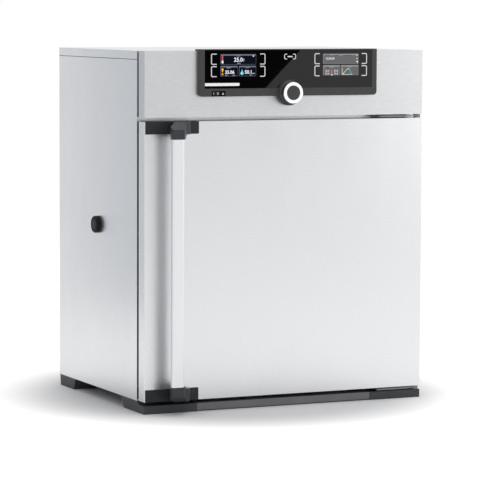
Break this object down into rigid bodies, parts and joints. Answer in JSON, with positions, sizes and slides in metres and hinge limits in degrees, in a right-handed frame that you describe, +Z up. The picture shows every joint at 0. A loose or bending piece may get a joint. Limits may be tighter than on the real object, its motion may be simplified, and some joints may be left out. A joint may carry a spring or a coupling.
{
  "type": "constant climate chamber",
  "caption": "Bench climate cabinet with textured steel casing, swing-handle outer door, inner glass door, ribbed chamber with grid shelves, control panel with turn-push knob and rear cooling unit.",
  "frame": {"origin": "middle of the footprint, on the bench surface under the feet", "axes": "+Z up, +Y from the door towards the back, +X to the right as seen from the front"},
  "size_m": [0.7565, 0.708, 0.868],
  "materials": {
    "textured_steel": "fine linen-textured stainless sheet",
    "fascia_steel": "fine brushed stainless sheet",
    "galvanised": "zinc-coated sheet",
    "rear_cover_paint": "powder-coated sheet",
    "chamber_steel": "bright annealed stainless sheet",
    "mineral_wool": "pressed wool batts",
    "dark_plastic": "fine-grained moulding",
    "foot_plastic": "moulded",
    "crossbar_grey": "satin paint",
    "bar_metal": "satin anodised",
    "hinge_steel": "bright",
    "bush_plastic": "self-lubricating",
    "seal_rubber": "soft black",
    "silicone": "translucent grey silicone",
    "window_glass": "clear",
    "panel_glass": "black printed glass",
    "display": "screen",
    "shelf_wire": "electropolished wire",
    "knob_plastic": "fine-grained moulding",
    "knob_ring_metal": "bright turned ring",
    "shaft_steel": "turned",
    "sink_aluminium": "extruded",
    "ceramic_white": "white ceramic plates",
    "board_green": "coated circuit board",
    "supply_case": "folded case",
    "fan_black": "moulded",
    "port_plug_black": "soft moulded"
  },
  "bodies": {
    "cabinet": {"air_baffle": "chamber_steel", "cabinet_insulation": "mineral_wool", "chamber_fan_motor": "supply_case", "chamber_liner": "chamber_steel", "climate_sensors": "shaft_steel", "cockpit_bezel": "dark_plastic", "cockpit_glass": "panel_glass", "cold_sink": "sink_aluminium", "control_board": "board_green", "control_fascia": "fascia_steel", "display_modules": "display", "door_hinges": "hinge_steel", "encoder_housing": "dark_plastic", "entry_tube": "chamber_steel", "feet": "foot_plastic", "floor_pan": "galvanised", "front_crossbar": "crossbar_grey", "front_frame": "chamber_steel", "glass_gasket": "silicone", "glass_hinge_brackets": "hinge_steel", "hot_sink": "sink_aluminium", "latch_keepers": "hinge_steel", "mains_inlet": "dark_plastic", "network_socket": "supply_case", "peltier_modules": "ceramic_white", "power_supply": "supply_case", "rear_fan_frames": "fan_black", "rear_panel": "galvanised", "rear_unit_cover": "rear_cover_paint", "roof_cover": "textured_steel", "side_panel_left": "textured_steel", "side_panel_right": "textured_steel", "steam_generator": "chamber_steel", "switch_housing": "dark_plastic", "water_connectors": "shaft_steel"},
    "door": {"door_shell": "textured_steel", "door_inner_panel": "chamber_steel", "door_insulation": "mineral_wool", "door_gasket": "seal_rubber", "handle_brackets": "dark_plastic", "door_hinge_bushes": "bush_plastic"},
    "handle": {"handle_bar": "bar_metal", "handle_cap_top": "dark_plastic", "handle_cap_bottom": "dark_plastic", "latch_shafts": "shaft_steel"},
    "glass_door": {"glass_pane": "window_glass", "glass_hinge_straps": "hinge_steel", "glass_grip": "hinge_steel"},
    "upper_shelf": {"shelf_upper": "shelf_wire"},
    "lower_shelf": {"shelf_lower": "shelf_wire"},
    "knob_shaft": {"knob_plunger": "shaft_steel"},
    "knob": {"knob_body": "knob_plastic", "knob_ring": "knob_ring_metal"},
    "rocker": {"mains_rocker": "dark_plastic"},
    "flap": {"port_flap": "dark_plastic"},
    "port_plug": {"entry_plug": "port_plug_black"},
    "chamber_fan": {"chamber_fan_rotor": "sink_aluminium"},
    "rear_fan_left": {"rear_fan_rotor_left": "fan_black"},
    "rear_fan_right": {"rear_fan_rotor_right": "fan_black"}
  },
  "joints": [
    {"name": "door_swing", "type": "hinge", "parent": "cabinet", "child": "door", "pos_m": [0.363, -0.284, 0.363], "axis": [0, 0, 1], "range_deg": [0, 160]},
    {"name": "handle_swing", "type": "hinge", "parent": "door", "child": "handle", "pos_m": [-0.274, -0.298, 0.363], "axis": [0, 0, 1], "range_deg": [0, 60]},
    {"name": "glass_door_swing", "type": "hinge", "parent": "cabinet", "child": "glass_door", "pos_m": [0.302, -0.256, 0.363], "axis": [0, 0, 1], "range_deg": [0, 112]},
    {"name": "upper_shelf_slide", "type": "slide", "parent": "cabinet", "child": "upper_shelf", "axis": [0, -1, 0], "range_m": [0, 0.13]},
    {"name": "lower_shelf_slide", "type": "slide", "parent": "cabinet", "child": "lower_shelf", "axis": [0, -1, 0], "range_m": [0, 0.09]},
    {"name": "knob_push", "type": "slide", "parent": "cabinet", "child": "knob_shaft", "axis": [0, 1, 0], "range_m": [0, 0.0012], "stiffness_N_per_m": 1500, "springref_m": -0.0006},
    {"name": "knob_turn", "type": "hinge", "parent": "knob_shaft", "child": "knob", "pos_m": [0.001, -0.326, 0.7633], "axis": [0, 1, 0], "continuous": true},
    {"name": "rocker_tip", "type": "hinge", "parent": "cabinet", "child": "rocker", "pos_m": [-0.19225, -0.301, 0.7627], "axis": [0, 0, -1], "range_deg": [0, 16]},
    {"name": "flap_open", "type": "hinge", "parent": "cabinet", "child": "flap", "pos_m": [-0.1747, -0.307, 0.7585], "axis": [1, 0, 0], "range_deg": [0, 90]},
    {"name": "port_plug_pull", "type": "slide", "parent": "cabinet", "child": "port_plug", "axis": [-1, 0, 0], "range_m": [0, 0.08]},
    {"name": "chamber_fan_spin", "type": "hinge", "parent": "cabinet", "child": "chamber_fan", "pos_m": [0, 0.149, 0.363], "axis": [0, 1, 0], "continuous": true},
    {"name": "rear_fan_left_spin", "type": "hinge", "parent": "cabinet", "child": "rear_fan_left", "pos_m": [-0.135, 0.324, 0.4], "axis": [0, 1, 0], "continuous": true},
    {"name": "rear_fan_right_spin", "type": "hinge", "parent": "cabinet", "child": "rear_fan_right", "pos_m": [0.135, 0.324, 0.4], "axis": [0, 1, 0], "continuous": true}
  ],
  "couplings": [
    {"joint": "glass_door_swing", "follows": "door_swing", "ratio": 0.7},
    {"joint": "upper_shelf_slide", "follows": "door_swing", "m_per_rad": 0.045},
    {"joint": "lower_shelf_slide", "follows": "door_swing", "m_per_rad": 0.03}
  ]
}
